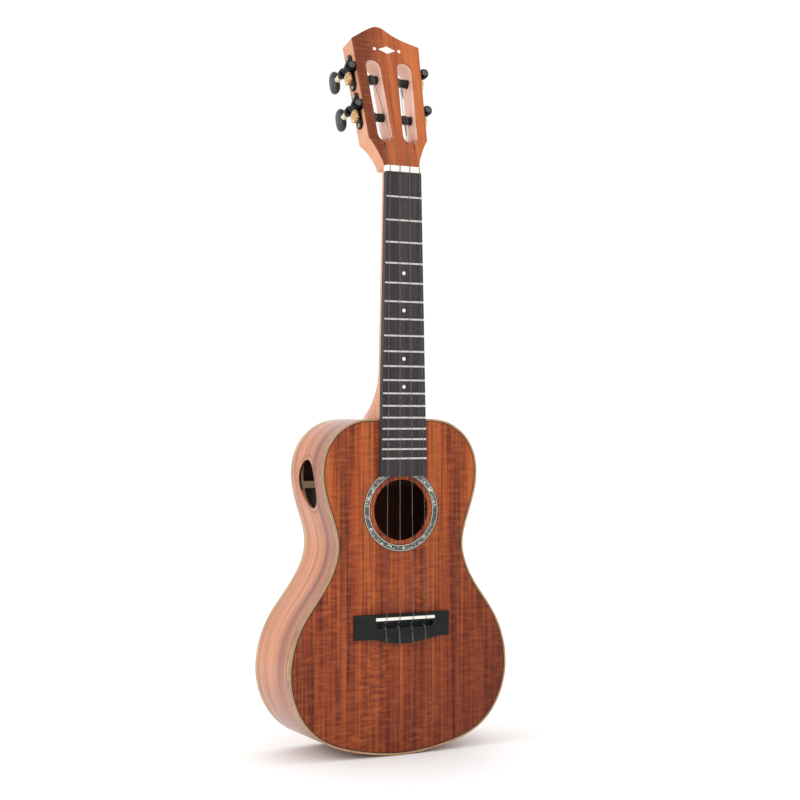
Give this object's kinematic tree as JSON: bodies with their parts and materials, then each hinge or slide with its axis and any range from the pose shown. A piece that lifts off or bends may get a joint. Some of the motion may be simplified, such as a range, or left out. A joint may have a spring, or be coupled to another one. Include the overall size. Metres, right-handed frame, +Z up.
{
  "type": "ukulele",
  "caption": "Concert ukulele with a hollow flat-topped body, side sound port, slotted tilted headstock and geared open tuners that wind its strings.",
  "frame": {"origin": "on the centre line at the nut's playing edge, in the plane of the soundboard, where a hanger's yoke passes round the neck", "axes": "+Z up along the neck towards the headstock, -Y out of the soundboard towards the player's audience, +X the treble side"},
  "size_m": [0.2084, 0.0894, 0.6324],
  "materials": {
    "soundboard_koa": "high gloss lacquer over striped, curly koa",
    "side_wood": "gloss lacquer",
    "tail_strip": "gloss lacquer",
    "binding": "gloss lacquer",
    "dark_purfling": "gloss lacquer",
    "pale_inlay": "gloss lacquer",
    "abalone": "polished iridescent shell",
    "neck_mahogany": "satin lacquer",
    "head_veneer_wood": "gloss lacquer",
    "pearl": "polished shell",
    "fretboard_ebony": "oiled",
    "bridge_ebony": "satin",
    "fret_silver": "polished",
    "bone": "polished",
    "clear_string": "clear nylon",
    "brace_spruce": "sanded, unfinished",
    "tuner_black_steel": "gloss black plating",
    "worm_steel": "black plating worn to grey on the cap",
    "gear_brass": "satin",
    "roller_black": "gloss",
    "button_black": "gloss",
    "screw_steel": "plated"
  },
  "bodies": {
    "root": {"back_binding": "binding", "back_lining": "brace_spruce", "back_plate": "side_wood", "bass_side": "side_wood", "bridge": "bridge_ebony", "bridge_plate": "brace_spruce", "face_braces": "brace_spruce", "fan_braces": "brace_spruce", "fretboard": "fretboard_ebony", "frets": "fret_silver", "front_binding": "binding", "front_lining": "brace_spruce", "front_purfling": "dark_purfling", "head_inlay": "pearl", "head_veneer": "head_veneer_wood", "lower_back_brace": "brace_spruce", "middle_back_brace": "brace_spruce", "neck": "neck_mahogany", "neck_block": "neck_mahogany", "neck_dowels": "neck_mahogany", "nut": "bone", "plate_screws": "screw_steel", "port_ring": "pale_inlay", "position_markers": "pearl", "rosette_abalone": "abalone", "rosette_lines": "dark_purfling", "saddle": "bone", "soundboard": "soundboard_koa", "string_a": "clear_string", "string_c": "clear_string", "string_e": "clear_string", "string_g": "clear_string", "tail_block": "neck_mahogany", "tail_wedge": "tail_strip", "treble_side": "side_wood", "tuner_plate_lower_bass": "tuner_black_steel", "tuner_plate_lower_treble": "tuner_black_steel", "tuner_plate_upper_bass": "tuner_black_steel", "tuner_plate_upper_treble": "tuner_black_steel", "upper_back_brace": "brace_spruce"},
    "knob_lower_bass": {"worm_shaft_lower_bass": "worm_steel", "button_lower_bass": "button_black"},
    "string_post_lower_bass": {"roller_lower_bass": "roller_black", "gear_lower_bass": "gear_brass", "winding_g": "clear_string"},
    "knob_upper_bass": {"worm_shaft_upper_bass": "worm_steel", "button_upper_bass": "button_black"},
    "string_post_upper_bass": {"roller_upper_bass": "roller_black", "gear_upper_bass": "gear_brass", "winding_c": "clear_string"},
    "knob_upper_treble": {"worm_shaft_upper_treble": "worm_steel", "button_upper_treble": "button_black"},
    "string_post_upper_treble": {"roller_upper_treble": "roller_black", "gear_upper_treble": "gear_brass", "winding_e": "clear_string"},
    "knob_lower_treble": {"worm_shaft_lower_treble": "worm_steel", "button_lower_treble": "button_black"},
    "string_post_lower_treble": {"roller_lower_treble": "roller_black", "gear_lower_treble": "gear_brass", "winding_a": "clear_string"}
  },
  "joints": [
    {"name": "knob_lower_bass_turn", "type": "hinge", "parent": "root", "child": "knob_lower_bass", "pos_m": [-0.03428, 0.02504, 0.0577], "axis": [0, -0.9627, 0.2706], "continuous": true},
    {"name": "string_post_lower_bass_turn", "type": "hinge", "parent": "root", "child": "string_post_lower_bass", "pos_m": [-0.0291, 0.02287, 0.04998], "axis": [-0.9989, -0.0126, -0.0449], "continuous": true},
    {"name": "knob_upper_bass_turn", "type": "hinge", "parent": "root", "child": "knob_upper_bass", "pos_m": [-0.03596, 0.03476, 0.09226], "axis": [0, -0.9627, 0.2706], "continuous": true},
    {"name": "string_post_upper_bass_turn", "type": "hinge", "parent": "root", "child": "string_post_upper_bass", "pos_m": [-0.03078, 0.03259, 0.08454], "axis": [-0.9989, -0.0126, -0.0449], "continuous": true},
    {"name": "knob_upper_treble_turn", "type": "hinge", "parent": "root", "child": "knob_upper_treble", "pos_m": [0.03596, 0.03476, 0.09226], "axis": [0, -0.9627, 0.2706], "continuous": true},
    {"name": "string_post_upper_treble_turn", "type": "hinge", "parent": "root", "child": "string_post_upper_treble", "pos_m": [0.03078, 0.03259, 0.08454], "axis": [0.9989, -0.0126, -0.0449], "continuous": true},
    {"name": "knob_lower_treble_turn", "type": "hinge", "parent": "root", "child": "knob_lower_treble", "pos_m": [0.03428, 0.02504, 0.0577], "axis": [0, -0.9627, 0.2706], "continuous": true},
    {"name": "string_post_lower_treble_turn", "type": "hinge", "parent": "root", "child": "string_post_lower_treble", "pos_m": [0.0291, 0.02287, 0.04998], "axis": [0.9989, -0.0126, -0.0449], "continuous": true}
  ],
  "couplings": [
    {"joint": "string_post_lower_bass_turn", "follows": "knob_lower_bass_turn", "ratio": -0.071429},
    {"joint": "string_post_upper_bass_turn", "follows": "knob_upper_bass_turn", "ratio": -0.071429},
    {"joint": "string_post_upper_treble_turn", "follows": "knob_upper_treble_turn", "ratio": -0.071429},
    {"joint": "string_post_lower_treble_turn", "follows": "knob_lower_treble_turn", "ratio": -0.071429}
  ]
}
